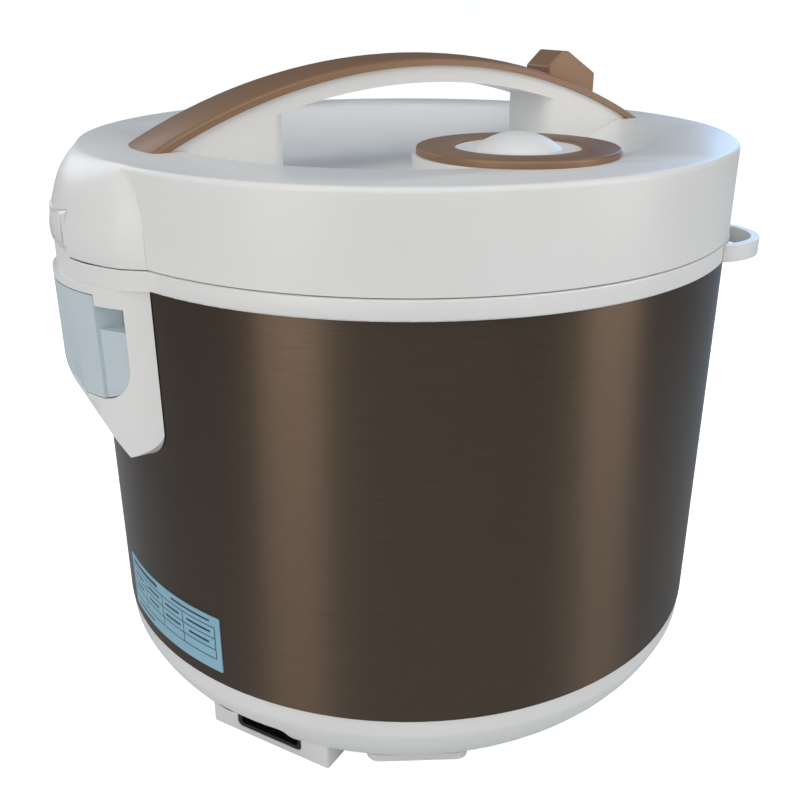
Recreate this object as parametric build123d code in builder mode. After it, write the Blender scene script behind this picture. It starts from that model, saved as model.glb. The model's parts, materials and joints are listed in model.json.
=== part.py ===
from build123d import *
import os
from math import cos, radians, sin, sqrt

os.makedirs("parts", exist_ok=True)

# Rice cooker in millimetres. Origin on the drum axis at the bottom of the feet, +Z up.
# The control panel faces -Y, the lid hinge and the dew cup are at +Y.

# Drum
shell_radius = 135.0
shell_wall = 1.0
shell_bottom = 40.0
shell_top = 199.4
ring_radius = 136.3
ring_top = 206.8
lid_radius = 136.0
lid_bottom = 207.3
lid_top = 241.5
wall = 2.8

# Base
skirt_radius = 134.5
skirt_foot_radius = 112.0
foot_height = 4.0
floor_top = 7.0
cover_top = 8.2
lip_inner = 131.4
lip_outer = 133.7

# Inlet
inlet_angle = 121.0
inlet_face = 118.0
inlet_box_width = 60.0
socket_rear = 86.0
socket_front = 117.8
socket_width = 32.6
socket_low = 3.0
socket_high = 23.0
socket_corner = 2.3

# Pot and heater
pot_radius = 112.0
pot_wall = 1.6
pot_flange_radius = 119.0
pot_flange_top = 208.0
pot_bottom = 76.0
plate_radius = 92.0
plate_bottom = 66.0
housing_radius = 117.3
housing_wall = 0.8
housing_floor = 57.0
sensor_hole = 17.0

# Lid top
bowl_radius = 104.0
bowl_floor_radius = 48.0
bowl_floor = 227.5
pedestal_half = 16.0
post_inner = 62.0
vent_x, vent_y = -78.0, -2.0
boss_radius = 38.5
tube_radius = 24.5
liner_bottom = 213.0
liner_top = 215.0

# Handle
strip_radius = 235.5
strip_crest = 268.1
strip_thick = 2.7
strip_crown = 1.5
strip_half = 17.0
grip_half = 15.5
grip_crest = 261.6
arc_centre = strip_crest - strip_radius

# Lid hinge
pivot_y = 140.0
pivot_z = 216.4
tower_radius = 9.9
tower_half = 13.6
tower_gap = 0.3
tower_front = 131.0
tower_foot = 208.9
sweep_inner, sweep_inner_radius = 13.6, 12.3  # half width and radius the lid's lobe sweeps
sweep_outer, sweep_outer_radius = 30.0, 9.7
pin_radius = 2.0

# Rear lobe: half width, reach of its corners from the drum axis, and tip
lobe_half = 45.7
lobe_reach = 136.2
lobe_tip = 149.0
lobe_levels = [(lid_bottom, lobe_half, lobe_reach, lobe_tip), (221.0, 45.5, lobe_reach, 148.7),
               (229.0, 44.5, lobe_reach, 146.0), (236.0, 42.5, 135.9, 142.0),
               (lid_top, 40.0, 133.6, 134.5)]

# Dew cup and its holder
holder_half = 44.8
holder_reach = 134.5
holder_tip = 151.0
holder_low = 130.0
holder_plate = 136.7
cup_half = 27.0
cup_side = 37.6
cup_inner = 137.0
cup_low = 156.3
cup_shoulder = 183.0
cup_high = 195.7
cup_gap = 0.4
cup_floor = 2.0
flank_step = 1.4

# Release button and latch
button_half = 8.5
button_front = -94.0
button_rear = -67.7
rod_y = -81.0
latch_y, latch_z = -103.0, 221.8
latch_half = 6.0
rod_low = latch_z + 3.3
catch_face = -120.6

# Cook lever
lever_y, lever_z = -95.0, 36.5
lever_front = -holder_tip
arm_front, arm_rear = -126.5, -121.5
lever_half = 5.0
lever_top = 39.0
panel_half = 40.0
panel_low, panel_high = 52.0, 118.0
panel_radius = 137.4


def turned(angle, height=0.0):
    return Plane.XY.offset(height).rotated((0, 0, angle))


def section(inner, outer, low, high):
    with Locations((inner, low)):
        Rectangle(outer - inner, high - low, align=(Align.MIN, Align.MIN))


def outline(points):
    Polygon(*points, align=None)


def lobe_outline(half, reach, tip):
    base = sqrt(reach ** 2 - half ** 2)
    corner_x, corner_y = half - 6, base + 0.36 * (tip - base)
    sides = Wire.make_polygon([(-corner_x, corner_y), (-half, base), (-half, 118),
                               (half, 118), (half, base), (corner_x, corner_y)], close=False)
    rear = Edge.make_three_point_arc((corner_x, corner_y), (0, tip), (-corner_x, corner_y))
    add(Face(Wire(sides.edges() + [rear])))


def cup_outline(grow, shoulder):
    half, side = cup_half + grow, cup_side + grow
    low, bend, top = cup_low - grow, cup_low + 14.7, cup_high + grow
    rim = Wire.make_polygon([(side, bend), (side, shoulder), (half, shoulder), (half, top),
                             (-half, top), (-half, shoulder), (-side, shoulder), (-side, bend)],
                            close=False)
    corners = [Edge.make_bezier((way * half, low), (way * (half + 7), low + 1.7),
                                (way * side, low + 6.7), (way * side, bend)) for way in (1, -1)]
    floor = Edge.make_line((-half, low), (half, low))
    add(Face(Wire(rim.edges() + corners + [floor])))


def inlet_plane(distance):
    out = (cos(radians(inlet_angle)), sin(radians(inlet_angle)), 0)
    return Plane((0, 0, 0), x_dir=(-out[1], out[0], 0), z_dir=out).offset(distance)


# ---------------------------------------------------------------- base

with BuildPart() as base_skirt:
    with BuildSketch(Plane.XZ):
        with BuildLine():
            Line((skirt_radius, shell_bottom), (skirt_radius, 32))
            ThreePointArc((skirt_radius, 32), (124.6, 14.6), (skirt_foot_radius, foot_height))
            Polyline((skirt_foot_radius, foot_height), (98, foot_height), (98, floor_top),
                     (110.6, floor_top))
            ThreePointArc((110.6, floor_top), (122.2, 16.6), (lip_inner, 32.8))
            Polyline((lip_inner, 32.8), (lip_inner, 46), (lip_outer, 46),
                     (lip_outer, shell_bottom), (skirt_radius, shell_bottom))
        make_face()
        corner = [v for v in vertices() if v.X > 134 and abs(v.Y - 32) < 0.1]
        fillet(corner, radius=9)
    revolve(axis=Axis.Z)
    with BuildSketch(turned(inlet_angle)):
        with Locations(((82 + inlet_face) / 2, 0)):
            RectangleRounded(inlet_face - 82, inlet_box_width, 1.2)
    extrude(amount=12)
    with BuildSketch(turned(inlet_angle)):
        with Locations(((82 + 108) / 2, 0)):
            Rectangle(108 - 82, inlet_box_width - 8)
    extrude(amount=socket_high + 1.6)
    with BuildSketch(inlet_plane(socket_rear)):
        with Locations((0, (socket_low + socket_high) / 2)):
            RectangleRounded(socket_width + 0.6, socket_high - socket_low, socket_corner)
    extrude(amount=60, mode=Mode.SUBTRACT)
    with PolarLocations(102, 4, start_angle=8):
        Hole(1.6)
base_skirt.part.label = "base_skirt"
export_step(base_skirt.part, "parts/base_skirt.step")

with BuildPart() as bottom_cover:
    with BuildSketch(Plane.XY.offset(floor_top)):
        Circle(106)
        with PolarLocations(52, 12):
            SlotOverall(26, 4, mode=Mode.SUBTRACT)
        with PolarLocations(102, 4, start_angle=8):
            Circle(1.6, mode=Mode.SUBTRACT)
    extrude(amount=cover_top - floor_top)
    with BuildSketch(turned(inlet_angle, floor_top)):
        with Locations((101, 0)):
            Rectangle(40, inlet_box_width + 0.8)
    extrude(amount=2, mode=Mode.SUBTRACT)
bottom_cover.part.label = "bottom_cover"
export_step(bottom_cover.part, "parts/bottom_cover.step")

with BuildPart() as bottom_screws:
    with BuildSketch(Plane.XY.offset(2)):
        with PolarLocations(102, 4, start_angle=8):
            Circle(3.2)
    extrude(amount=foot_height - 2)
    with BuildSketch(Plane.XY.offset(foot_height)):
        with PolarLocations(102, 4, start_angle=8):
            Circle(1.6)
    extrude(amount=8)
    with PolarLocations(102, 4, start_angle=8):
        with Locations((0, 0, 2.4)):
            Box(4, 0.9, 0.8, mode=Mode.SUBTRACT)
            Box(0.9, 4, 0.8, mode=Mode.SUBTRACT)
bottom_screws.part.label = "bottom_screws"
export_step(bottom_screws.part, "parts/bottom_screws.step")

with BuildPart() as feet:
    with BuildSketch(Plane.XY.offset(0.8)):
        with PolarLocations(106, 4, start_angle=63):
            RectangleRounded(15, 42, 5)
    extrude(amount=foot_height - 0.8)
    with BuildSketch():
        with PolarLocations(106, 4, start_angle=63):
            with GridLocations(1, 29, 1, 2):
                Circle(4.6)
    extrude(amount=0.8)
    chamfer(feet.faces().sort_by(Axis.Z)[:8].edges(), length=0.4)
feet.part.label = "feet"
export_step(feet.part, "parts/feet.step")

# ---------------------------------------------------------------- inlet

pin_rows = [(100, -8), (100, 0), (100, 8)]

with BuildPart() as inlet_pins:
    with BuildSketch(turned(inlet_angle, 10.9)):
        with Locations(*pin_rows):
            Rectangle(22, 1.8)
    extrude(amount=3.2)
inlet_pins.part.label = "inlet_pins"
export_step(inlet_pins.part, "parts/inlet_pins.step")

with BuildPart() as inlet_socket:
    with BuildSketch(inlet_plane(socket_rear)):
        with Locations((0, (socket_low + socket_high) / 2)):
            RectangleRounded(socket_width, socket_high - socket_low, socket_corner)
    extrude(amount=socket_front - socket_rear)
    with BuildSketch(inlet_plane(93)):
        with Locations((0, (socket_low + socket_high) / 2)):
            RectangleRounded(socket_width - 3.6, socket_high - socket_low - 3.6, 1.5)
    extrude(amount=40, mode=Mode.SUBTRACT)
    with BuildSketch(turned(inlet_angle, 10.9)):
        with Locations(*pin_rows):
            Rectangle(22, 1.8)
    extrude(amount=3.2, mode=Mode.SUBTRACT)
inlet_socket.part.label = "inlet_socket"
export_step(inlet_socket.part, "parts/inlet_socket.step")

# ---------------------------------------------------------------- shell, label and panel

with BuildPart() as outer_shell:
    with BuildSketch(Plane.XZ):
        section(shell_radius - shell_wall, shell_radius, shell_bottom, shell_top)
    revolve(axis=Axis.Z)
    with BuildSketch(Plane.XZ.offset(120)):
        with Locations((0, 85)):
            Rectangle(60, 52)
    extrude(amount=20, mode=Mode.SUBTRACT)
outer_shell.part.label = "outer_shell"
export_step(outer_shell.part, "parts/outer_shell.step")

with BuildPart() as rating_label:
    with BuildSketch(Plane.XZ):
        section(shell_radius, shell_radius + 0.4, 40, 80)
    revolve(axis=Axis.Z)
    with BuildSketch(Plane((0, 0, 58.75), x_dir=(cos(radians(193.4)), sin(radians(193.4)), 0),
                           z_dir=(cos(radians(103.4)), sin(radians(103.4)), 0))):
        RectangleRounded(68.5, 25.5, 0.6)
    extrude(amount=150, mode=Mode.INTERSECT)
rating_label.part.label = "rating_label"
export_step(rating_label.part, "parts/rating_label.step")

with BuildPart() as front_panel:
    with BuildSketch(Plane.XZ):
        section(shell_radius, panel_radius, panel_low - 5, panel_high + 5)
    revolve(axis=Axis.Z)
    with BuildSketch(Plane.XZ):
        with Locations((0, (panel_low + panel_high) / 2)):
            RectangleRounded(2 * panel_half, panel_high - panel_low, 8)
    extrude(amount=150, mode=Mode.INTERSECT)
    with BuildSketch(Plane.XZ.offset(129.4)):
        with Locations((0, 85)):
            Rectangle(59.4, 51.4)
            Rectangle(56.2, 48.2, mode=Mode.SUBTRACT)
    extrude(amount=6.6)
    with BuildSketch(Plane.XZ.offset(125)):
        with Locations((0, 83)):
            Rectangle(13, 16)
        with Locations((-22, 104), (22, 104)):
            Circle(3)
    extrude(amount=20, mode=Mode.SUBTRACT)
front_panel.part.label = "front_panel"
export_step(front_panel.part, "parts/front_panel.step")

with BuildPart() as lamp_lenses:
    with BuildSketch(Plane.XZ.offset(133.5)):
        with Locations((-22, 104), (22, 104)):
            Circle(3)
    extrude(amount=4.5)
    fillet(lamp_lenses.faces().sort_by(Axis.Y)[:2].edges(), radius=1)
lamp_lenses.part.label = "lamp_lenses"
export_step(lamp_lenses.part, "parts/lamp_lenses.step")

with BuildPart() as lamp_board:
    with BuildSketch(Plane.XZ.offset(127.8)):
        with Locations((0, 100)):
            Rectangle(57, 17)
    extrude(amount=1.6)
    with BuildSketch(Plane.XZ.offset(129.4)):
        with Locations((-22, 104), (22, 104)):
            Circle(2.4)
    extrude(amount=4.1)
lamp_board.part.label = "lamp_board"
export_step(lamp_board.part, "parts/lamp_board.step")

# ---------------------------------------------------------------- upper ring and hinge tower

with BuildPart() as hinge_tower:
    with BuildSketch(Plane.YZ):
        section(tower_front, lobe_tip + 1, shell_top + 1, tower_foot)
        section(tower_front, pivot_y, tower_foot, pivot_z)
        section(pivot_y, pivot_y + 7, tower_foot, pivot_z - 5)
        with Locations((pivot_y, pivot_z)):
            Circle(tower_radius)
    extrude(amount=tower_half, both=True)
    with BuildSketch(Plane.XY.offset(shell_top)):
        lobe_outline(lobe_half, lobe_reach, lobe_tip)
    extrude(amount=40, mode=Mode.INTERSECT)

with BuildPart() as lobe_sweep:
    with BuildSketch(Plane.YZ.offset(sweep_inner)):
        with Locations((pivot_y, pivot_z)):
            Circle(sweep_inner_radius)
    with BuildSketch(Plane.YZ.offset(sweep_outer)):
        with Locations((pivot_y, pivot_z)):
            Circle(sweep_outer_radius)
    loft()
    mirror(about=Plane.YZ)

with BuildPart() as upper_ring:
    with BuildSketch(Plane.XZ):
        outline([(114, 203.8), (114, ring_top), (ring_radius, ring_top), (ring_radius, shell_top),
                 (lip_outer, shell_top), (lip_outer, 190), (lip_inner, 190), (lip_inner, 203.8)])
        rim = [v for v in vertices() if v.X > ring_radius - 0.1]
        fillet(rim, radius=0.8)
    revolve(axis=Axis.Z)
    with BuildSketch(Plane.XY.offset(shell_top)):
        lobe_outline(lobe_half, lobe_reach, lobe_tip)
        Circle(lip_outer, mode=Mode.SUBTRACT)
    extrude(amount=ring_top - shell_top)
    add(lobe_sweep.part, mode=Mode.SUBTRACT)
    add(hinge_tower.part)
    with BuildSketch(Plane.YZ):
        with Locations((pivot_y, pivot_z)):
            Circle(pin_radius + 0.06)
    extrude(amount=tower_half, both=True, mode=Mode.SUBTRACT)
    with BuildSketch(Plane.XY.offset(190)):
        with Locations((0, (catch_face - 131) / 2)):
            Rectangle(18, 131 + catch_face)
    extrude(amount=20, mode=Mode.SUBTRACT)
    with BuildSketch(Plane.XY.offset(190)):
        with Locations((-21, 139), (21, 139)):
            SlotOverall(9, 3)
    extrude(amount=20, mode=Mode.SUBTRACT)
upper_ring.part.label = "upper_ring"
export_step(upper_ring.part, "parts/upper_ring.step")

with BuildPart() as lid_catch:
    with BuildSketch(Plane.XY.offset(200.6)):
        with Locations((0, catch_face + 1.2)):
            Rectangle(16, 2.4)
    extrude(amount=3.2)
lid_catch.part.label = "lid_catch"
export_step(lid_catch.part, "parts/lid_catch.step")

with BuildPart() as spoon_loop:
    with BuildSketch(turned(221.5, shell_top + 0.4)):
        with BuildLine():
            Line((130, 20.5), (130, -20.5))
            Line((130, -20.5), (135.5, -20.5))
            ThreePointArc((135.5, -20.5), (147.6, 0), (135.5, 20.5))
            Line((135.5, 20.5), (130, 20.5))
        make_face()
        with BuildLine():
            Line((130, 16), (130, -16))
            Line((130, -16), (135.8, -16))
            ThreePointArc((135.8, -16), (144.2, 0), (135.8, 16))
            Line((135.8, 16), (130, 16))
        make_face(mode=Mode.SUBTRACT)
        with Locations((0, 0)):
            Circle(ring_radius, mode=Mode.SUBTRACT)
    extrude(amount=ring_top - shell_top - 0.8)
spoon_loop.part.label = "spoon_loop"
export_step(spoon_loop.part, "parts/spoon_loop.step")

# ---------------------------------------------------------------- dew cup and its holder

with BuildPart() as rear_form:
    with BuildSketch(Plane.XY.offset(holder_low - 2)):
        lobe_outline(holder_half, holder_reach, holder_tip)
        Circle(shell_radius + 0.2, mode=Mode.SUBTRACT)
    extrude(amount=shell_top - holder_low + 2)
    with BuildSketch(Plane.YZ):
        with BuildLine():
            Polyline((holder_tip, 170), (holder_tip, 200), (100, 200), (100, holder_low),
                     (136.5, holder_low))
            ThreePointArc((136.5, holder_low), (146.2, 148.5), (holder_tip, 170))
        make_face()
    extrude(amount=60, both=True, mode=Mode.INTERSECT)
    with BuildSketch(Plane.XZ):
        with BuildLine():
            Polyline((-holder_half, 150), (-holder_half, 200), (holder_half, 200),
                     (holder_half, 150))
            Bezier((holder_half, 150), (holder_half, 136), (36, 130.6), (12, holder_low))
            Line((12, holder_low), (-12, holder_low))
            Bezier((-12, holder_low), (-36, 130.6), (-holder_half, 136), (-holder_half, 150))
        make_face()
    extrude(amount=-170, mode=Mode.INTERSECT)

with BuildPart() as dew_cup_holder:
    add(rear_form.part)
    with BuildSketch(Plane.XZ.offset(-120)):
        cup_outline(cup_gap, 192)
    extrude(amount=-40, mode=Mode.SUBTRACT)
    with BuildSketch(Plane.XY.offset(cup_low - 4)):
        with Locations((0, 135)):
            Rectangle(2 * cup_side + 4, 20)
        Circle(holder_plate, mode=Mode.INTERSECT)
        Circle(shell_radius + 0.2, mode=Mode.SUBTRACT)
    extrude(amount=shell_top - cup_low + 4)
dew_cup_holder.part.label = "dew_cup_holder"
export_step(dew_cup_holder.part, "parts/dew_cup_holder.step")

with BuildPart() as dew_cup:
    add(rear_form.part)
    with BuildSketch(Plane.XY.offset(cup_low)):
        Rectangle(2 * cup_half, 400)
    extrude(amount=60, mode=Mode.INTERSECT)
    add(rear_form.part.moved(Location((0, -flank_step, 0))))
    with BuildSketch(Plane.XZ.offset(-120)):
        cup_outline(0, cup_shoulder)
    extrude(amount=-40, mode=Mode.INTERSECT)
    with BuildSketch(Plane.XY.offset(cup_low - 1)):
        Circle(cup_inner)
    extrude(amount=60, mode=Mode.SUBTRACT)
    with BuildSketch(Plane.XY.offset(cup_low + cup_floor)):
        with BuildLine():
            Polyline((-30, 130), (-30, 137.5))
            ThreePointArc((-30, 137.5), (0, 146.6), (30, 137.5))
            Polyline((30, 137.5), (30, 130), (-30, 130))
        make_face()
        Circle(cup_inner + 1.6, mode=Mode.SUBTRACT)
    extrude(amount=cup_shoulder - 1.6 - cup_low - cup_floor, mode=Mode.SUBTRACT)
    with BuildSketch(Plane.XY.offset(cup_low + cup_floor)):
        with BuildLine():
            Polyline((-25.2, 130), (-25.2, 140))
            ThreePointArc((-25.2, 140), (0, 146.6), (25.2, 140))
            Polyline((25.2, 140), (25.2, 130), (-25.2, 130))
        make_face()
        Circle(cup_inner + 1.6, mode=Mode.SUBTRACT)
    extrude(amount=60, mode=Mode.SUBTRACT)
dew_cup.part.label = "dew_cup"
export_step(dew_cup.part, "parts/dew_cup.step")

# ---------------------------------------------------------------- pot, housing and heater

with BuildPart() as inner_housing:
    with BuildSketch(Plane.XZ):
        section(housing_radius - housing_wall, housing_radius, housing_floor, 203.8)
        section(86, housing_radius, housing_floor, housing_floor + 1)
    revolve(axis=Axis.Z)
inner_housing.part.label = "inner_housing"
export_step(inner_housing.part, "parts/inner_housing.step")

with BuildPart() as inner_pot:
    with BuildSketch(Plane.XZ):
        with BuildLine():
            Polyline((0, pot_bottom), (pot_radius, pot_bottom), (pot_radius, ring_top),
                     (pot_flange_radius, ring_top), (pot_flange_radius, pot_flange_top),
                     (pot_radius - pot_wall, pot_flange_top),
                     (pot_radius - pot_wall, pot_bottom + pot_wall), (0, pot_bottom + pot_wall),
                     (0, pot_bottom))
        make_face()
        outer_corner = [v for v in vertices() if abs(v.X - pot_radius) < 0.1
                        and v.Y < pot_bottom + 1]
        inner_corner = [v for v in vertices() if abs(v.X - pot_radius + pot_wall) < 0.1
                        and v.Y < pot_bottom + 3]
        fillet(outer_corner, radius=16)
        fillet(inner_corner, radius=16 - pot_wall)
    revolve(axis=Axis.Z)
inner_pot.part.label = "inner_pot"
export_step(inner_pot.part, "parts/inner_pot.step")

with BuildPart() as heating_plate:
    with BuildSketch(Plane.XZ):
        section(sensor_hole, plate_radius, plate_bottom, pot_bottom)
        section(60, 75, plate_bottom - 6, plate_bottom)
    revolve(axis=Axis.Z)
    fillet(heating_plate.edges().group_by(Axis.Z)[-1].sort_by(SortBy.RADIUS)[-1], radius=1.5)
heating_plate.part.label = "heating_plate"
export_step(heating_plate.part, "parts/heating_plate.step")

with BuildPart() as heater_terminals:
    with BuildSketch(Plane.XY.offset(48)):
        with PolarLocations(67.5, 2, start_angle=75, angular_range=60):
            Circle(2)
    extrude(amount=plate_bottom - 6 - 48)
    with BuildSketch(Plane.XY.offset(52)):
        with PolarLocations(67.5, 2, start_angle=75, angular_range=60):
            Circle(4)
    extrude(amount=4)
heater_terminals.part.label = "heater_terminals"
export_step(heater_terminals.part, "parts/heater_terminals.step")

with BuildPart() as plate_supports:
    with BuildSketch(Plane.XY.offset(housing_floor + 1)):
        with PolarLocations(89, 3, start_angle=30):
            Circle(2.8)
    extrude(amount=plate_bottom - housing_floor - 1)
plate_supports.part.label = "plate_supports"
export_step(plate_supports.part, "parts/plate_supports.step")

with BuildPart() as band_heater:
    with BuildSketch(Plane.XZ):
        section(housing_radius, housing_radius + 1.6, 140, 160)
    revolve(axis=Axis.Z)
band_heater.part.label = "band_heater"
export_step(band_heater.part, "parts/band_heater.step")

with BuildPart() as thermal_fuse:
    with BuildSketch(Plane.XZ.offset(-62)):
        with Locations((80, housing_floor - 2.2)):
            Circle(2.2)
    extrude(amount=-16)
thermal_fuse.part.label = "thermal_fuse"
export_step(thermal_fuse.part, "parts/thermal_fuse.step")

with BuildPart() as terminal_block:
    with BuildSketch(Plane.XY.offset(cover_top)):
        with Locations((-20, 44)):
            Rectangle(34, 14)
    extrude(amount=11)
    with BuildSketch(Plane.XY.offset(cover_top + 5)):
        with Locations((-30, 44), (-20, 44), (-10, 44)):
            Rectangle(7, 8)
    extrude(amount=6, mode=Mode.SUBTRACT)
terminal_block.part.label = "terminal_block"
export_step(terminal_block.part, "parts/terminal_block.step")

with BuildPart() as terminal_screws:
    with BuildSketch(Plane.XY.offset(cover_top + 5)):
        with Locations((-30, 44), (-20, 44), (-10, 44)):
            Circle(2.6)
    extrude(amount=2.2)
    with Locations((-30, 44, cover_top + 7), (-20, 44, cover_top + 7), (-10, 44, cover_top + 7)):
        Box(4, 0.8, 0.8, mode=Mode.SUBTRACT)
terminal_screws.part.label = "terminal_screws"
export_step(terminal_screws.part, "parts/terminal_screws.step")

# ---------------------------------------------------------------- thermostat

with BuildPart() as thermostat_guide:
    with BuildSketch(Plane.XZ):
        section(sensor_hole - 1, sensor_hole, 48, 72)
        section(3.5, sensor_hole, 48, 49)
        section(sensor_hole, 24, plate_bottom - 1.5, plate_bottom)
    revolve(axis=Axis.Z)
thermostat_guide.part.label = "thermostat_guide"
export_step(thermostat_guide.part, "parts/thermostat_guide.step")

with BuildPart() as magnet_plunger:
    with BuildSketch(Plane.XZ):
        section(0, 2.5, lever_top + 0.5, 50)
        section(0, 10, 50, 56)
    revolve(axis=Axis.Z)
magnet_plunger.part.label = "magnet_plunger"
export_step(magnet_plunger.part, "parts/magnet_plunger.step")

with BuildPart() as sensor_head:
    with BuildSketch(Plane.XZ):
        section(0, 15.6, 64, pot_bottom - 0.3)
    revolve(axis=Axis.Z)
    fillet(sensor_head.edges().group_by(Axis.Z)[-1], radius=1.5)
    with BuildSketch(Plane.XY.offset(64)):
        Circle(11)
    extrude(amount=5, mode=Mode.SUBTRACT)
sensor_head.part.label = "sensor_head"
export_step(sensor_head.part, "parts/sensor_head.step")


def coil(radius, wire, low, high, turns, centre=(0, 0)):
    span = high - low - wire
    path = Helix(pitch=span / turns, height=span, radius=radius,
                 center=(centre[0], centre[1], low + wire / 2))
    start = Plane(path @ 0, z_dir=path % 0)
    return sweep(start * Circle(wire / 2), path=path, is_frenet=True)


sensor_coil = coil(13.2, 1.0, 49.2, 63.9, 4)
with BuildPart() as sensor_spring:
    add(sensor_coil)
sensor_spring.part.label = "sensor_spring"
export_step(sensor_spring.part, "parts/sensor_spring.step")

# ---------------------------------------------------------------- cook lever

with BuildPart() as cook_lever:
    with BuildSketch(Plane.YZ):
        outline([(lever_front, 77), (lever_front, 92), (-138.6, 92), (-138.6, 87), (arm_rear, 87),
                 (arm_rear, lever_top), (4, lever_top), (4, 34), (arm_front, 34), (arm_front, 82),
                 (-138.6, 82), (-138.6, 77)])
        with Locations((lever_y, lever_z)):
            Circle(4.2)
            Circle(2.06, mode=Mode.SUBTRACT)
    extrude(amount=lever_half, both=True)
    with BuildSketch(Plane.YZ):
        section(lever_front, -138.6, 77, 92)
    extrude(amount=10, both=True)
    fillet(cook_lever.edges().filter_by(Axis.X).group_by(Axis.Y)[0], radius=2)
cook_lever.part.label = "cook_lever"
export_step(cook_lever.part, "parts/cook_lever.step")

with BuildPart() as lever_bracket:
    with BuildSketch(Plane.YZ.offset(lever_half + 0.6)):
        outline([(-104, cover_top), (-104, cover_top + 1.2), (-100, 42), (-90, 42),
                 (-86, cover_top + 1.2), (-86, cover_top)])
        with Locations((lever_y, lever_z)):
            Circle(2, mode=Mode.SUBTRACT)
    extrude(amount=1.4)
    mirror(about=Plane.YZ)
    with BuildSketch(Plane.XY.offset(cover_top)):
        with Locations((0, lever_y)):
            Rectangle(14, 18)
    extrude(amount=1.2)
lever_bracket.part.label = "lever_bracket"
export_step(lever_bracket.part, "parts/lever_bracket.step")

with BuildPart() as lever_pin:
    with BuildSketch(Plane.YZ):
        with Locations((lever_y, lever_z)):
            Circle(2)
    extrude(amount=9, both=True)
lever_pin.part.label = "lever_pin"
export_step(lever_pin.part, "parts/lever_pin.step")

with BuildPart() as micro_switch:
    with BuildSketch(Plane.XY.offset(14)):
        with Locations((lever_half + 2, lever_y)):
            Rectangle(10, 16, align=(Align.MIN, Align.CENTER))
    extrude(amount=16)
    with BuildSketch(Plane.XY.offset(30)):
        with Locations((lever_half + 7, lever_y + 4)):
            Circle(1.2)
    extrude(amount=2)
micro_switch.part.label = "micro_switch"
export_step(micro_switch.part, "parts/micro_switch.step")

# ---------------------------------------------------------------- lid cover

with BuildPart() as lid_lobe:
    for level, half, reach, tip in lobe_levels:
        with BuildSketch(Plane.XY.offset(level)):
            lobe_outline(half, reach, tip)
    loft()

with BuildPart() as lid_cover:
    with BuildSketch(Plane.XZ):
        with BuildLine():
            Polyline((0, bowl_floor), (0, lid_bottom), (lid_radius, lid_bottom),
                     (lid_radius, lid_top), (bowl_radius, lid_top))
            TangentArc((bowl_floor_radius, bowl_floor), (bowl_radius, lid_top), tangent=(1, 0))
            Line((bowl_floor_radius, bowl_floor), (0, bowl_floor))
        make_face()
        crown = [v for v in vertices() if v.X > lid_radius - 0.1 and v.Y > lid_top - 0.1]
        fillet(crown, radius=2.2)
    revolve(axis=Axis.Z)
    add(lid_lobe.part)
    with BuildSketch(Plane.XY.offset(bowl_floor - wall)):
        with Locations((0, 84), (0, -84)):
            RectangleRounded(2 * pedestal_half, 44, 6)
        with Locations((vent_x, vent_y)):
            Circle(boss_radius)
    extrude(amount=lid_top - bowl_floor + wall)
    with BuildSketch(Plane.XY.offset(bowl_floor - wall)):
        with Locations((vent_x, vent_y)):
            Circle(boss_radius + 3)
    extrude(amount=7)
    with BuildSketch(Plane.XZ):
        with BuildLine():
            Polyline((0, bowl_floor - wall), (0, 200), (lid_radius - wall, 200),
                     (lid_radius - wall, lid_top - wall), (bowl_radius + 0.7, lid_top - wall))
            TangentArc((bowl_floor_radius, bowl_floor - wall),
                       (bowl_radius + 0.7, lid_top - wall), tangent=(1, 0))
            Line((bowl_floor_radius, bowl_floor - wall), (0, bowl_floor - wall))
        make_face()
    revolve(axis=Axis.Z, mode=Mode.SUBTRACT)
    with BuildSketch(Plane.XY.offset(bowl_floor - wall - 10)):
        with Locations((0, 84), (0, -84)):
            RectangleRounded(2 * pedestal_half - 3.4, 40.6, 4)
        with Locations((vent_x, vent_y)):
            Circle(boss_radius - wall)
    extrude(amount=lid_top - bowl_floor + 10, mode=Mode.SUBTRACT)
    with BuildSketch(Plane.XY.offset(lid_top - wall - 1)):
        with Locations((vent_x, vent_y)):
            Circle(tube_radius)
        with Locations((0, rod_y)):
            Rectangle(7, 7)
        with Locations((-11.8, 71), (11.8, 71), (-11.8, -71), (11.8, -71)):
            Circle(1.2)
    extrude(amount=10, mode=Mode.SUBTRACT)
    with BuildSketch(Plane.YZ):
        section(127, 156, 200, pivot_z)
        with Locations((pivot_y, pivot_z)):
            Circle(tower_radius + tower_gap)
    extrude(amount=tower_half + tower_gap, both=True, mode=Mode.SUBTRACT)
    with BuildSketch(Plane.YZ):
        with Locations((pivot_y, pivot_z)):
            Circle(pin_radius)
    extrude(amount=20, both=True, mode=Mode.SUBTRACT)
lid_cover.part.label = "lid_cover"
export_step(lid_cover.part, "parts/lid_cover.step")

with BuildPart() as hinge_pin:
    with BuildSketch(Plane.YZ):
        with Locations((pivot_y, pivot_z)):
            Circle(pin_radius)
    extrude(amount=20, both=True)
hinge_pin.part.label = "hinge_pin"
export_step(hinge_pin.part, "parts/hinge_pin.step")

# ---------------------------------------------------------------- lid inside

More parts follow.
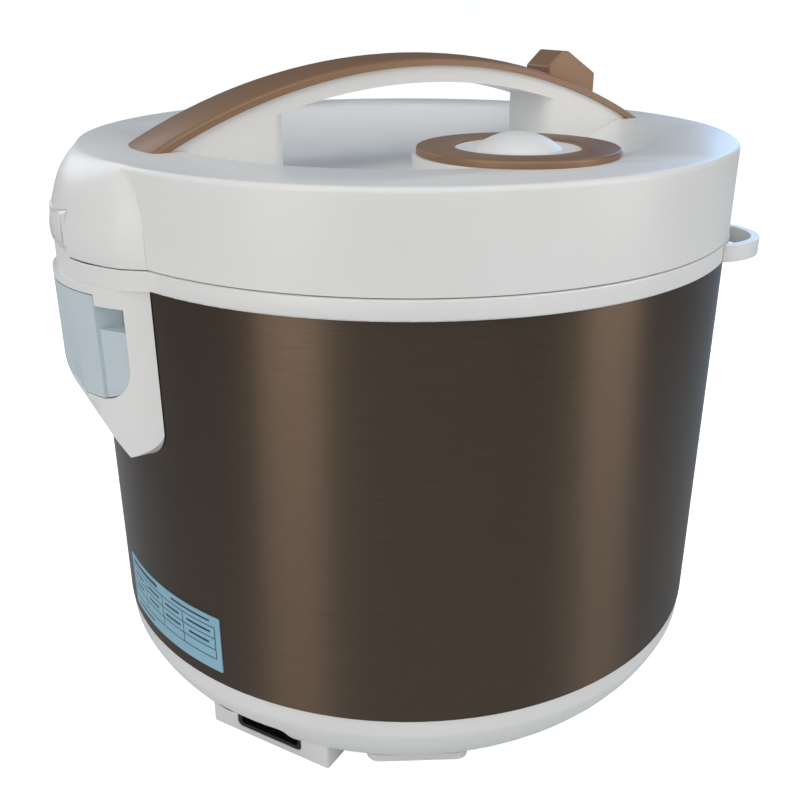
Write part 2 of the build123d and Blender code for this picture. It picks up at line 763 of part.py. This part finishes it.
with BuildPart() as lid_liner:
    with BuildSketch(Plane.XZ):
        section(0, lid_radius - wall - 0.4, liner_bottom, liner_top)
        section(130, lid_radius - wall - 0.4, 207.5, liner_bottom)
        section(0, 5, 211, liner_bottom)
    revolve(axis=Axis.Z)
    with BuildSketch(Plane.XY.offset(200)):
        with Locations((vent_x, vent_y)):
            Circle(tube_radius)
        with Locations((0, -125.5)):
            Rectangle(18, 13)
        with Locations((0, 137)):
            Rectangle(2 * tower_half + 0.8, 20)
    extrude(amount=20, mode=Mode.SUBTRACT)
    with BuildSketch(Plane.YZ.offset(latch_half + 0.6)):
        section(latch_y - 4, latch_y + 4, liner_top - 1, latch_z + 3)
        with Locations((latch_y, latch_z)):
            Circle(1.5, mode=Mode.SUBTRACT)
    extrude(amount=2.4)
    with BuildSketch(Plane.YZ.offset(-latch_half - 0.6)):
        section(latch_y - 4, latch_y + 4, liner_top - 1, latch_z + 3)
        with Locations((latch_y, latch_z)):
            Circle(1.5, mode=Mode.SUBTRACT)
    extrude(amount=-2.4)
lid_liner.part.label = "lid_liner"
export_step(lid_liner.part, "parts/lid_liner.step")

with BuildPart() as inner_lid_plate:
    with BuildSketch(Plane.XY.offset(210)):
        Circle(117)
        with Locations((vent_x, vent_y)):
            with PolarLocations(9, 6):
                Circle(2.5, mode=Mode.SUBTRACT)
    extrude(amount=1)
inner_lid_plate.part.label = "inner_lid_plate"
export_step(inner_lid_plate.part, "parts/inner_lid_plate.step")

with BuildPart() as lid_gasket:
    with BuildSketch(Plane.XZ):
        section(112.5, 120, pot_flange_top + 0.3, 212.6)
        section(100, 117, 210, 211)
    revolve(axis=Axis.Z)
    with BuildSketch(Plane.XY.offset(210)):
        Circle(117)
    extrude(amount=1, mode=Mode.SUBTRACT)
lid_gasket.part.label = "lid_gasket"
export_step(lid_gasket.part, "parts/lid_gasket.step")

with BuildPart() as centre_knob:
    with BuildSketch(Plane.XZ):
        section(0, 9, 204.5, 210)
    revolve(axis=Axis.Z)
    fillet(centre_knob.edges().group_by(Axis.Z)[0], radius=2)
centre_knob.part.label = "centre_knob"
export_step(centre_knob.part, "parts/centre_knob.step")

with BuildPart() as lid_heater:
    with BuildSketch(Plane.XY.offset(liner_top)):
        Circle(98)
        Circle(58, mode=Mode.SUBTRACT)
        with Locations((vent_x, vent_y)):
            Circle(32, mode=Mode.SUBTRACT)
    extrude(amount=0.8)
lid_heater.part.label = "lid_heater"
export_step(lid_heater.part, "parts/lid_heater.step")

with BuildPart() as vent_tube:
    with BuildSketch(Plane.XY.offset(liner_bottom)):
        with Locations((vent_x, vent_y)):
            Circle(tube_radius)
            Circle(tube_radius - 2.3, mode=Mode.SUBTRACT)
    extrude(amount=lid_top - liner_bottom)
    with BuildSketch(Plane.XY.offset(liner_top)):
        with Locations((vent_x, vent_y)):
            Circle(30)
            Circle(tube_radius - 2.3, mode=Mode.SUBTRACT)
    extrude(amount=2)
vent_tube.part.label = "vent_tube"
export_step(vent_tube.part, "parts/vent_tube.step")

with BuildPart() as vent_seal:
    with BuildSketch(Plane.XY.offset(211)):
        with Locations((vent_x, vent_y)):
            Circle(tube_radius)
            Circle(18, mode=Mode.SUBTRACT)
    extrude(amount=liner_bottom - 211)
vent_seal.part.label = "vent_seal"
export_step(vent_seal.part, "parts/vent_seal.step")

# ---------------------------------------------------------------- steam vent cap

with BuildPart() as vent_ring:
    with BuildSketch(Plane.XY.offset(lid_top + 0.1)):
        with Locations((vent_x, vent_y)):
            Circle(37)
            Circle(23, mode=Mode.SUBTRACT)
    extrude(amount=2.5)
    fillet(vent_ring.edges().group_by(Axis.Z)[-1], radius=1)
vent_ring.part.label = "vent_ring"
export_step(vent_ring.part, "parts/vent_ring.step")

with BuildPart() as vent_cap:
    with BuildSketch(Plane(origin=(vent_x, vent_y, 0), x_dir=(1, 0, 0), z_dir=(0, -1, 0))):
        with BuildLine():
            Polyline((0, 225), (21.4, 225), (21.4, lid_top + 0.1), (23, lid_top + 0.1),
                     (23, lid_top + 1.8), (16, lid_top + 1.8))
            TangentArc((0, lid_top + 7.6), (16, lid_top + 1.8), tangent=(1, 0))
            Line((0, lid_top + 7.6), (0, lid_top + 5.6))
            TangentArc((0, lid_top + 5.6), (14, lid_top), tangent=(1, 0))
            Polyline((14, lid_top), (19.4, lid_top - 1), (19.4, 227), (0, 227), (0, 225))
        make_face()
    revolve(axis=Axis((vent_x, vent_y, 0), (0, 0, 1)))
    with BuildSketch(Plane.XY.offset(220)):
        with Locations((vent_x, vent_y)):
            with PolarLocations(11, 5):
                Circle(2)
    extrude(amount=8, mode=Mode.SUBTRACT)
vent_cap.part.label = "vent_cap"
export_step(vent_cap.part, "parts/vent_cap.step")

# ---------------------------------------------------------------- handle

with BuildPart() as handle_grip:
    with BuildSketch(Plane.YZ):
        with BuildLine():
            top_arc = CenterArc((0, arc_centre), strip_radius, 62.5, 55)
            Line(top_arc @ 0, (0, 200))
            Line(top_arc @ 1, (0, 200))
        make_face()
        section(-130, 130, 190, lid_top)
        with Locations((0, lid_top)):
            Rectangle(300, 100, align=(Align.CENTER, Align.MAX), mode=Mode.SUBTRACT)
        with BuildLine():
            Polyline((-post_inner, 253.2), (-post_inner, 230), (post_inner, 230),
                     (post_inner, 253.2))
            ThreePointArc((post_inner, 253.2), (0, grip_crest), (-post_inner, 253.2))
        make_face(mode=Mode.SUBTRACT)
    extrude(amount=grip_half, both=True)
    with BuildSketch(Plane.XY.offset(lid_top + 2.2)):
        with Locations((0, (button_front + button_rear) / 2)):
            Rectangle(2 * button_half + 0.8, button_rear - button_front + 0.8)
    extrude(amount=40, mode=Mode.SUBTRACT)
    with BuildSketch(Plane.XY.offset(lid_top - 1)):
        with Locations((0, rod_y)):
            Rectangle(7, 7)
    extrude(amount=10, mode=Mode.SUBTRACT)
    with BuildSketch(Plane.XY.offset(lid_top)):
        with Locations((-11.8, 71), (11.8, 71), (-11.8, -71), (11.8, -71)):
            Circle(1.2)
    extrude(amount=9, mode=Mode.SUBTRACT)
    posts = handle_grip.edges().filter_by(Axis.Z).filter_by(
        lambda e: abs(abs(e.center().Y) - post_inner) < 0.1)
    fillet(posts, radius=5)
handle_grip.part.label = "handle_grip"
export_step(handle_grip.part, "parts/handle_grip.step")

with BuildPart() as handle_strip:
    with BuildSketch(Plane.XZ):
        with BuildLine():
            edge_top = strip_crest + strip_thick
            Polyline((-strip_half + 0.6, edge_top), (-strip_half, edge_top - 0.5),
                     (-strip_half, strip_crest), (strip_half, strip_crest),
                     (strip_half, edge_top - 0.5), (strip_half - 0.6, edge_top))
            ThreePointArc((strip_half - 0.6, edge_top), (0, edge_top + strip_crown),
                          (-strip_half + 0.6, edge_top))
        make_face()
    revolve(axis=Axis((0, 0, arc_centre), (1, 0, 0)), revolution_arc=40)
    mirror(about=Plane.XZ)
    split(bisect_by=Plane.XY.offset(lid_top), keep=Keep.TOP)
    with BuildSketch(Plane.XY.offset(lid_top)):
        with Locations((0, (button_front + button_rear) / 2)):
            Rectangle(2 * button_half + 0.8, button_rear - button_front + 0.8)
    extrude(amount=60, mode=Mode.SUBTRACT)
handle_strip.part.label = "handle_strip"
export_step(handle_strip.part, "parts/handle_strip.step")

with BuildPart() as handle_screws:
    with BuildSketch(Plane.XY.offset(lid_top - wall - 1.6)):
        with Locations((-11.8, 71), (11.8, 71), (-11.8, -71), (11.8, -71)):
            Circle(2.2)
    extrude(amount=1.6)
    with BuildSketch(Plane.XY.offset(lid_top - wall)):
        with Locations((-11.8, 71), (11.8, 71), (-11.8, -71), (11.8, -71)):
            Circle(1.2)
    extrude(amount=10)
handle_screws.part.label = "handle_screws"
export_step(handle_screws.part, "parts/handle_screws.step")

# ---------------------------------------------------------------- release button and latch

with BuildPart() as open_button:
    with BuildSketch(Plane.YZ):
        outline([(button_rear, 247.5), (button_rear, 265.2), (-75, 271.6), (-78.5, 271.3),
                 (button_front, 261.6), (button_front, 247.5)])
        fillet([v for v in vertices() if v.Y > 260], radius=1.5)
    extrude(amount=button_half, both=True)
    fillet(open_button.edges().filter_by(
        lambda e: abs(abs(e.center().X) - button_half) < 0.05 and e.center().Z > 258), radius=0.8)
    with BuildSketch(Plane.XY.offset(rod_low)):
        with Locations((0, rod_y)):
            Rectangle(5.6, 5.6)
    extrude(amount=248 - rod_low)
open_button.part.label = "open_button"
export_step(open_button.part, "parts/open_button.step")

button_coil = coil(2.2, 0.6, lid_top + 2.3, 247.4, 3, (0, -89))
with BuildPart() as button_spring:
    add(button_coil)
button_spring.part.label = "button_spring"
export_step(button_spring.part, "parts/button_spring.step")

with BuildPart() as latch_hook:
    with BuildSketch(Plane.YZ):
        outline([(-76, 221), (-76, 224.4), (-106, 224.4), (-125.5, 220), (-125.5, 200),
                 (-121, 200), (-121, 203), (-122.8, 205), (-122.8, 216.5), (-106, 219.2),
                 (-100, 219.2)])
        with Locations((latch_y, latch_z)):
            Circle(1.56, mode=Mode.SUBTRACT)
    extrude(amount=latch_half, both=True)
latch_hook.part.label = "latch_hook"
export_step(latch_hook.part, "parts/latch_hook.step")

with BuildPart() as latch_pin:
    with BuildSketch(Plane.YZ):
        with Locations((latch_y, latch_z)):
            Circle(1.5)
    extrude(amount=latch_half + 3, both=True)
latch_pin.part.label = "latch_pin"
export_step(latch_pin.part, "parts/latch_pin.step")
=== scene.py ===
import json
import math

import bmesh
import bpy
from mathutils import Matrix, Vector


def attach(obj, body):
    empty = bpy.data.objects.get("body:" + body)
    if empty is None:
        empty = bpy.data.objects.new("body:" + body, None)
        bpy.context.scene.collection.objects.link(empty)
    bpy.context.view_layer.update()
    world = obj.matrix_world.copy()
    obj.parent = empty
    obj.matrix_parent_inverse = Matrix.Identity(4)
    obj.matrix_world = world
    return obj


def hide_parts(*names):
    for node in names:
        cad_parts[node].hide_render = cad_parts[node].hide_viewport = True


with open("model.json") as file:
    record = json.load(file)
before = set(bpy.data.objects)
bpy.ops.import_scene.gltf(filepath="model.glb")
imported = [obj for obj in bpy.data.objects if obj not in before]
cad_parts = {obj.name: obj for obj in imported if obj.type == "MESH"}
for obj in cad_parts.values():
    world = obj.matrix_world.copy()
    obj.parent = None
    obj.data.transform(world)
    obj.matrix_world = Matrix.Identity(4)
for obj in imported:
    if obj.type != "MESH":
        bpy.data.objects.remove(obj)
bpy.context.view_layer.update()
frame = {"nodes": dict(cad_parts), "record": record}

nodes = frame["nodes"]
mm = 0.001
print("frame loaded", len(nodes), "nodes")


# ---- material helpers

def toLinear(hexColour):
    parts = [int(hexColour[i:i + 2], 16) / 255 for i in (0, 2, 4)]
    return [p / 12.92 if p <= 0.04045 else ((p + 0.055) / 1.055) ** 2.4 for p in parts] + [1.0]


def addNode(tree, kind, settings=None, links=None):
    node = tree.nodes.new(kind)
    for name, value in (settings or {}).items():
        if isinstance(name, int) or name in node.inputs:
            node.inputs[name].default_value = value
        else:
            setattr(node, name, value)
    for name, source in (links or {}).items():
        tree.links.new(source, node.inputs[name])
    return node


def startMaterial(name, settings):
    material = bpy.data.materials.new(name)
    material.use_nodes = True
    tree = material.node_tree
    shader = tree.nodes["Principled BSDF"]
    for socket, value in settings.items():
        shader.inputs[socket].default_value = value
    coords = addNode(tree, "ShaderNodeTexCoord").outputs["Object"]
    return material, tree, shader, coords


def perMetre(sizeMm):
    return 1 / (sizeMm * mm)


def mouldedPlastic(name, look):
    # injection moulded: fine orange-peel bump, a little drift in tone and in gloss
    material, tree, shader, coords = startMaterial(name, {
        "IOR": look.get("ior", 1.53), "Metallic": 0.0})
    cloud = addNode(tree, "ShaderNodeTexNoise", {"Scale": perMetre(look["cloudMm"]), "Detail": 2.0},
                    {"Vector": coords})
    tone = addNode(tree, "ShaderNodeMix", {"data_type": "RGBA", 6: toLinear(look["low"]),
                                           7: toLinear(look["high"])},
                   {0: cloud.outputs["Fac"]})
    tree.links.new(tone.outputs[2], shader.inputs["Base Color"])
    peel = addNode(tree, "ShaderNodeTexNoise", {"Scale": perMetre(look["peelMm"]), "Detail": 3.0},
                   {"Vector": coords})
    gloss = addNode(tree, "ShaderNodeMapRange", {"To Min": look["rough"][0],
                                                 "To Max": look["rough"][1]},
                    {"Value": peel.outputs["Fac"]})
    tree.links.new(gloss.outputs["Result"], shader.inputs["Roughness"])
    bump = addNode(tree, "ShaderNodeBump", {"Strength": look["bump"], "Distance": 0.05 * mm},
                   {"Height": peel.outputs["Fac"]})
    tree.links.new(bump.outputs["Normal"], shader.inputs["Normal"])
    return material, tree, shader, coords


def brushedMetal(name, look):
    # fine scratches run one way, so they stretch the highlight across themselves
    material, tree, shader, coords = startMaterial(name, {"Metallic": 1.0})
    grain = addNode(tree, "ShaderNodeMapping", {"Scale": look["stretch"]}, {"Vector": coords})
    scratch = addNode(tree, "ShaderNodeTexNoise", {"Scale": perMetre(look["grainMm"]),
                                                   "Detail": 4.0, "Roughness": 0.65},
                      {"Vector": grain.outputs["Vector"]})
    tone = addNode(tree, "ShaderNodeMix", {"data_type": "RGBA", 6: toLinear(look["low"]),
                                           7: toLinear(look["high"])},
                   {0: scratch.outputs["Fac"]})
    tree.links.new(tone.outputs[2], shader.inputs["Base Color"])
    gloss = addNode(tree, "ShaderNodeMapRange", {"To Min": look["rough"][0],
                                                 "To Max": look["rough"][1]},
                    {"Value": scratch.outputs["Fac"]})
    tree.links.new(gloss.outputs["Result"], shader.inputs["Roughness"])
    bump = addNode(tree, "ShaderNodeBump", {"Strength": look["bump"], "Distance": 0.04 * mm},
                   {"Height": scratch.outputs["Fac"]})
    tree.links.new(bump.outputs["Normal"], shader.inputs["Normal"])
    return material, tree, shader, coords


# ---- camera, floor and light

view = {"place": (-0.3674, 0.2095, 0.2939), "aim": (0.8036, -0.4512, -0.3881), "lens": 43.16,
        "sensorMm": 36, "seesTo": 1000}
cameraData = bpy.data.cameras.new("photoCamera")
cameraData.lens = view["lens"]
cameraData.sensor_width = view["sensorMm"]
cameraData.clip_end = view["seesTo"]
camera = bpy.data.objects.new("photoCamera", cameraData)
camera.location = view["place"]
camera.rotation_euler = Vector(view["aim"]).to_track_quat("-Z", "Y").to_euler()
bpy.context.scene.collection.objects.link(camera)
bpy.context.scene.camera = camera

paperLook = {"halfWidth": 400, "glow": 0.85}
floorData = bpy.data.meshes.new("floor")
floorMesh = bmesh.new()
bmesh.ops.create_grid(floorMesh, x_segments=1, y_segments=1, size=paperLook["halfWidth"])
floorMesh.to_mesh(floorData)
floorMesh.free()
floor = bpy.data.objects.new("floor", floorData)
bpy.context.scene.collection.objects.link(floor)
paper, paperTree, paperShader, _ = startMaterial("seamlessPaper", {
    "Base Color": toLinear("DCE2E6"), "Roughness": 0.9, "Emission Color": toLinear("FFFFFF")})
# lit white to the eye, like a light table, but it throws no glare back into the steel
seen = addNode(paperTree, "ShaderNodeLightPath").outputs["Is Camera Ray"]
lift = addNode(paperTree, "ShaderNodeMath", {"operation": "MULTIPLY", 1: paperLook["glow"]},
               {0: seen})
paperTree.links.new(lift.outputs[0], paperShader.inputs["Emission Strength"])
floorData.materials.append(paper)

# the room is paler on the side the pieces are seen from and a deeper blue beyond
room = {"toward": (-0.8, 0.45, 0.4), "far": "47708C", "near": "EDF3F7", "dim": 0.24, "bright": 0.46}
world = bpy.data.worlds.new("studio")
world.use_nodes = True
roomTree = world.node_tree
direction = addNode(roomTree, "ShaderNodeTexCoord").outputs["Generated"]
facing = addNode(roomTree, "ShaderNodeVectorMath", {"operation": "DOT_PRODUCT", 1: room["toward"]},
                 {0: direction})
amount = addNode(roomTree, "ShaderNodeMapRange", {"From Min": -0.5, "From Max": 0.8},
                 {"Value": facing.outputs["Value"]})
tint = addNode(roomTree, "ShaderNodeMix", {"data_type": "RGBA", 6: toLinear(room["far"]),
                                           7: toLinear(room["near"])},
               {0: amount.outputs["Result"]})
level = addNode(roomTree, "ShaderNodeMapRange", {"From Min": 0.0, "From Max": 1.0,
                                                 "To Min": room["dim"], "To Max": room["bright"]},
                {"Value": amount.outputs["Result"]})
glow = roomTree.nodes["Background"]
roomTree.links.new(tint.outputs[2], glow.inputs["Color"])
roomTree.links.new(level.outputs["Result"], glow.inputs["Strength"])
bpy.context.scene.world = world
bpy.context.scene.view_settings.view_transform = "Standard"

softboxes = [  # place, aimed at, size across and high, watts, colour
    {"name": "topBox", "place": (-0.25, 0.15, 1.3), "aim": (0, 0, 0.2), "size": (1.2, 1.2),
     "watts": 5.6, "colour": "FAFCFF"},
    {"name": "keyBox", "place": (-0.95, -0.8, 0.55), "aim": (0, 0, 0.12), "size": (0.5, 1.3),
     "watts": 6, "colour": "FFF6EC"},
    {"name": "rearBox", "place": (-0.5, 1.15, 0.55), "aim": (0, 0, 0.15), "size": (0.5, 1.3),
     "watts": 6, "colour": "FFF4E8"},
    {"name": "frontBox", "place": (0.75, -1.25, 0.6), "aim": (0, 0, 0.12), "size": (0.35, 1.0),
     "watts": 4, "colour": "8FBEF2"},
    {"name": "farBox", "place": (1.3, 0.5, 0.8), "aim": (0, 0, 0.12), "size": (0.8, 0.8),
     "watts": 4, "colour": "F2F6FF"},
]
for box in softboxes:
    lamp = bpy.data.lights.new(box["name"], "AREA")
    lamp.shape = "RECTANGLE"
    lamp.size, lamp.size_y = box["size"]
    lamp.energy = box["watts"]
    lamp.color = toLinear(box["colour"])[:3]
    light = bpy.data.objects.new(box["name"], lamp)
    light.location = box["place"]
    aim = Vector(box["aim"]) - Vector(box["place"])
    light.rotation_euler = aim.to_track_quat("-Z", "Y").to_euler()
    bpy.context.scene.collection.objects.link(light)
print("camera and light made")


# ---- materials

whiteLook = {"low": "E2E2E1", "high": "EAEAE9", "cloudMm": 45, "peelMm": 1.1,
             "rough": (0.34, 0.44), "bump": 0.04}
# white ABS: bright and neutral, with a soft satin highlight
glossyAbs, _, glossyShader, _ = mouldedPlastic("glossyWhiteAbs", whiteLook)
glossyShader.inputs["Coat Weight"].default_value = 0.08
glossyShader.inputs["Coat Roughness"].default_value = 0.12
# grey polypropylene inside the lid: duller, a little waxy
greyPp, *_ = mouldedPlastic("greyPolypropylene", {
    "low": "B9BBBC", "high": "C6C8C8", "cloudMm": 30, "peelMm": 0.7, "rough": (0.38, 0.5),
    "bump": 0.1})
# black glass-filled nylon: dark with a soft sheen, spark-eroded grain
blackNylon, *_ = mouldedPlastic("blackNylon", {
    "low": "0B0B0C", "high": "151516", "cloudMm": 12, "peelMm": 0.4, "rough": (0.45, 0.6),
    "bump": 0.2})
# moulded silicone: matt, slightly dusty white
silicone, *_ = mouldedPlastic("siliconeRubber", {
    "low": "C4C4C0", "high": "D2D2CE", "cloudMm": 10, "peelMm": 0.5, "rough": (0.6, 0.75),
    "bump": 0.12})
# solder-masked circuit board: green, half gloss
boardLacquer, *_ = mouldedPlastic("circuitBoard", {
    "low": "1B4A2A", "high": "235A33", "cloudMm": 6, "peelMm": 0.4, "rough": (0.3, 0.4),
    "bump": 0.1})
# tinted acrylic of the lamp lenses: clear amber with a sharp glint
amberAcrylic, _, amberShader, _ = mouldedPlastic("amberAcrylic", {
    "low": "C8641A", "high": "E0812C", "cloudMm": 4, "peelMm": 1.0, "rough": (0.08, 0.12),
    "bump": 0.02, "ior": 1.49})
amberShader.inputs["Transmission Weight"].default_value = 0.3

# stainless shell, tinted bronze and brushed round the drum: rings of fine scratches that
# draw every reflection out into a tall soft band
shellLook = {"low": "574A3F", "high": "685A4E", "grainMm": 0.5, "stretch": (0.03, 0.03, 1.0),
             "rough": (0.36, 0.44), "bump": 0.08, "drawnOut": 0.95}
shellSteel, shellTree, shellShader, _ = brushedMetal("brushedBronzeSteel", shellLook)
shellShader.inputs["Anisotropic"].default_value = shellLook["drawnOut"]
shellShader.inputs["Anisotropic Rotation"].default_value = 0.25
roundDrum = addNode(shellTree, "ShaderNodeTangent", {"direction_type": "RADIAL", "axis": "Z"})
shellTree.links.new(roundDrum.outputs["Tangent"], shellShader.inputs["Tangent"])
# plain cold-rolled steel of brackets, pins and the bottom plate
plainSteel, *_ = brushedMetal("coldRolledSteel", {
    "low": "A9ABAD", "high": "C2C4C5", "grainMm": 0.8, "stretch": (0.2, 1, 1),
    "rough": (0.28, 0.4), "bump": 0.12})
# cast and turned aluminium: pale, soft gloss, fine turning marks
castAluminium, *_ = brushedMetal("turnedAluminium", {
    "low": "C3C5C8", "high": "DCDDDF", "grainMm": 1.0, "stretch": (0.3, 0.3, 1),
    "rough": (0.3, 0.45), "bump": 0.1})
# brass terminals and inlet blades
rolledBrass, *_ = brushedMetal("rolledBrass", {
    "low": "B08A3E", "high": "CDA550", "grainMm": 0.5, "stretch": (1, 0.3, 1),
    "rough": (0.22, 0.34), "bump": 0.1})
# bright music wire of the springs
musicWire, *_ = brushedMetal("musicWire", {
    "low": "9EA1A4", "high": "C7C9CB", "grainMm": 0.3, "stretch": (1, 1, 1),
    "rough": (0.18, 0.26), "bump": 0.05})
# non-stick coat on the pot: near black with fine speckle
nonStick, _, nonStickShader, _ = brushedMetal("nonStickCoat", {
    "low": "17171A", "high": "2C2C30", "grainMm": 0.5, "stretch": (1, 1, 1),
    "rough": (0.32, 0.45), "bump": 0.12})
nonStickShader.inputs["Metallic"].default_value = 0.25

# bronze lacquer on plastic: metal flake under a clear coat, warm brown
bronzeLacquer, _, bronzeShader, _ = brushedMetal("bronzeFlakeLacquer", {
    "low": "84664E", "high": "9A785C", "grainMm": 0.5, "stretch": (1, 1, 1),
    "rough": (0.42, 0.52), "bump": 0.06})
bronzeShader.inputs["Metallic"].default_value = 0.3
bronzeShader.inputs["Coat Weight"].default_value = 0.12
bronzeShader.inputs["Coat Roughness"].default_value = 0.16

# natural polypropylene of the dew cup: milky, a little light passes through it
milkyPp, _, milkyShader, _ = mouldedPlastic("naturalPolypropylene", {
    "low": "BFCDD4", "high": "CAD6DC", "cloudMm": 24, "peelMm": 3.0, "rough": (0.22, 0.28),
    "bump": 0.01, "ior": 1.49})
milkyShader.inputs["Subsurface Weight"].default_value = 0.25
milkyShader.inputs["Subsurface Scale"].default_value = 2 * mm

# printed foil label: pale metallic blue with a ruled table and no lettering
labelFoil, labelTree, labelShader, labelCoords = startMaterial("printedFoil", {
    "Metallic": 0.35, "Roughness": 0.38})
print("materials made")

finishes = {
    "white_plastic": glossyAbs, "bronze_plastic": bronzeLacquer, "shell_steel": shellSteel,
    "label_film": labelFoil, "black_plastic": blackNylon, "steel": plainSteel,
    "brass": rolledBrass, "aluminium": castAluminium, "pot_coating": nonStick,
    "rubber": silicone, "clear_cup": milkyPp, "grey_plastic": greyPp,
    "amber_lens": amberAcrylic, "board": boardLacquer, "spring_steel": musicWire,
}
slotOf = {s["node"]: s["material_slot"] for s in frame["record"]["subparts"]}
for name, piece in nodes.items():
    piece.data.materials.clear()
    piece.data.materials.append(finishes[slotOf[name]])


# ---- label print: a ruled table, no lettering

labelLook = {"radiusMm": 135.4, "startDegrees": 88.7, "lineMm": 0.5, "foil": ("8DBBD0", "9CC8DA"),
             "ink": "1B3A52", "rowsMm": (51.6, 56.0, 61.3, 66.5),
             "columnsMm": (2.0, 17.0, 32.5, 47.5, 66.5),
             # plain printed bars: middle and half length along, height, half thickness
             "barsMm": ((16.0, 13.0, 69.0, 0.9), (52.0, 12.0, 69.0, 0.5), (9.5, 5.0, 63.9, 0.55),
                        (24.5, 5.5, 63.9, 0.55), (40.0, 5.0, 63.9, 0.55), (57.0, 7.0, 63.9, 0.55),
                        (9.5, 4.0, 58.6, 0.55), (24.5, 4.5, 58.6, 0.55), (40.0, 5.5, 58.6, 0.55),
                        (57.0, 6.0, 58.6, 0.55), (14.0, 9.0, 48.8, 0.5))}
parts = addNode(labelTree, "ShaderNodeSeparateXYZ", {}, {"Vector": labelCoords})
angle = addNode(labelTree, "ShaderNodeMath", {"operation": "ARCTAN2"},
                {0: parts.outputs["Y"], 1: parts.outputs["X"]})
start = math.radians(labelLook["startDegrees"])
fromStart = addNode(labelTree, "ShaderNodeMath", {"operation": "SUBTRACT", 1: start},
                    {0: angle.outputs[0]})
along = addNode(labelTree, "ShaderNodeMath",
                {"operation": "MULTIPLY", 1: labelLook["radiusMm"]},
                {0: fromStart.outputs[0]})
height = addNode(labelTree, "ShaderNodeMath", {"operation": "MULTIPLY", 1: 1 / mm},
                 {0: parts.outputs["Z"]})


def within(source, middle, reach):
    return addNode(labelTree, "ShaderNodeMath", {"operation": "COMPARE", 1: middle, 2: reach},
                   {0: source.outputs[0]})


def both(first, second, operation):
    return addNode(labelTree, "ShaderNodeMath", {"operation": operation},
                   {0: first.outputs[0], 1: second.outputs[0]})


halfLine = labelLook["lineMm"] / 2
rows, columns = labelLook["rowsMm"], labelLook["columnsMm"]
insideAcross = within(along, (columns[0] + columns[-1]) / 2,
                      (columns[-1] - columns[0]) / 2 + halfLine)
insideUp = within(height, (rows[0] + rows[-1]) / 2, (rows[-1] - rows[0]) / 2 + halfLine)
ink = both(within(height, rows[0], halfLine), insideAcross, "MULTIPLY")
for row in rows[1:]:
    ink = both(ink, both(within(height, row, halfLine), insideAcross, "MULTIPLY"), "MAXIMUM")
for column in columns:
    ink = both(ink, both(within(along, column, halfLine), insideUp, "MULTIPLY"), "MAXIMUM")
for middle, reach, row, half in labelLook["barsMm"]:
    ink = both(ink, both(within(along, middle, reach), within(height, row, half), "MULTIPLY"),
               "MAXIMUM")
foilGrain = addNode(labelTree, "ShaderNodeTexNoise", {"Scale": perMetre(6), "Detail": 2.0},
                    {"Vector": labelCoords})
foil = addNode(labelTree, "ShaderNodeMix", {"data_type": "RGBA", 6: toLinear(labelLook["foil"][0]),
                                            7: toLinear(labelLook["foil"][1])},
               {0: foilGrain.outputs["Fac"]})
printed = addNode(labelTree, "ShaderNodeMix", {"data_type": "RGBA", 7: toLinear(labelLook["ink"])},
                  {0: ink.outputs[0], 6: foil.outputs[2]})
labelTree.links.new(printed.outputs[2], labelShader.inputs["Base Color"])
print("label drawn")


# ---- pieces taken from CAD nodes, with merged faces and softened edges

bodyOf = {n: body for body, members in frame["record"]["behaviour"]["bodies"].items()
          for n in members}


creaseDegrees = 32


def showFor(name, mesh, title):
    piece = bpy.data.objects.new(title, mesh)
    bpy.context.scene.collection.objects.link(piece)
    mesh.materials.clear()
    mesh.materials.append(finishes[slotOf[name]])
    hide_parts(name)
    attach(piece, bodyOf[name])
    return piece


def smoothByAngle(shape, degrees):
    for face in shape.faces:
        face.smooth = True
    for edge in shape.edges:
        edge.smooth = len(edge.link_faces) == 2 and edge.calc_face_angle(0) < math.radians(degrees)


def softened(name, edge):
    mesh = nodes[name].data.copy()
    shape = bmesh.new()
    shape.from_mesh(mesh)
    bmesh.ops.remove_doubles(shape, verts=shape.verts, dist=0.004 * mm)
    bmesh.ops.dissolve_degenerate(shape, edges=shape.edges, dist=0.002 * mm)
    bmesh.ops.dissolve_limit(shape, angle_limit=math.radians(0.4), verts=shape.verts,
                             edges=shape.edges, delimit={"NORMAL"})
    smoothByAngle(shape, creaseDegrees)
    shape.to_mesh(mesh)
    shape.free()
    piece = showFor(name, mesh, name + "Skin")
    rounding = piece.modifiers.new("edges", "BEVEL")
    rounding.width = edge["bevelMm"] * mm
    rounding.segments = 2
    rounding.limit_method = "ANGLE"
    rounding.angle_limit = math.radians(creaseDegrees)
    rounding.harden_normals = True
    rounding.use_clamp_overlap = True


softEdges = {
    "lid_cover": {"bevelMm": 0.5}, "handle_grip": {"bevelMm": 0.9}, "handle_strip": {"bevelMm": 0.3},
    "open_button": {"bevelMm": 0.3}, "vent_ring": {"bevelMm": 0.2}, "vent_cap": {"bevelMm": 0.3},
    "upper_ring": {"bevelMm": 0.3}, "spoon_loop": {"bevelMm": 0.8},
    "dew_cup_holder": {"bevelMm": 0.8}, "dew_cup": {"bevelMm": 0.4},
    "base_skirt": {"bevelMm": 0.5}, "inlet_socket": {"bevelMm": 0.3}, "feet": {"bevelMm": 0.4},
    "front_panel": {"bevelMm": 0.5}, "cook_lever": {"bevelMm": 0.4},
}
for name, edge in softEdges.items():
    softened(name, edge)
print("softened", len(softEdges), "pieces")
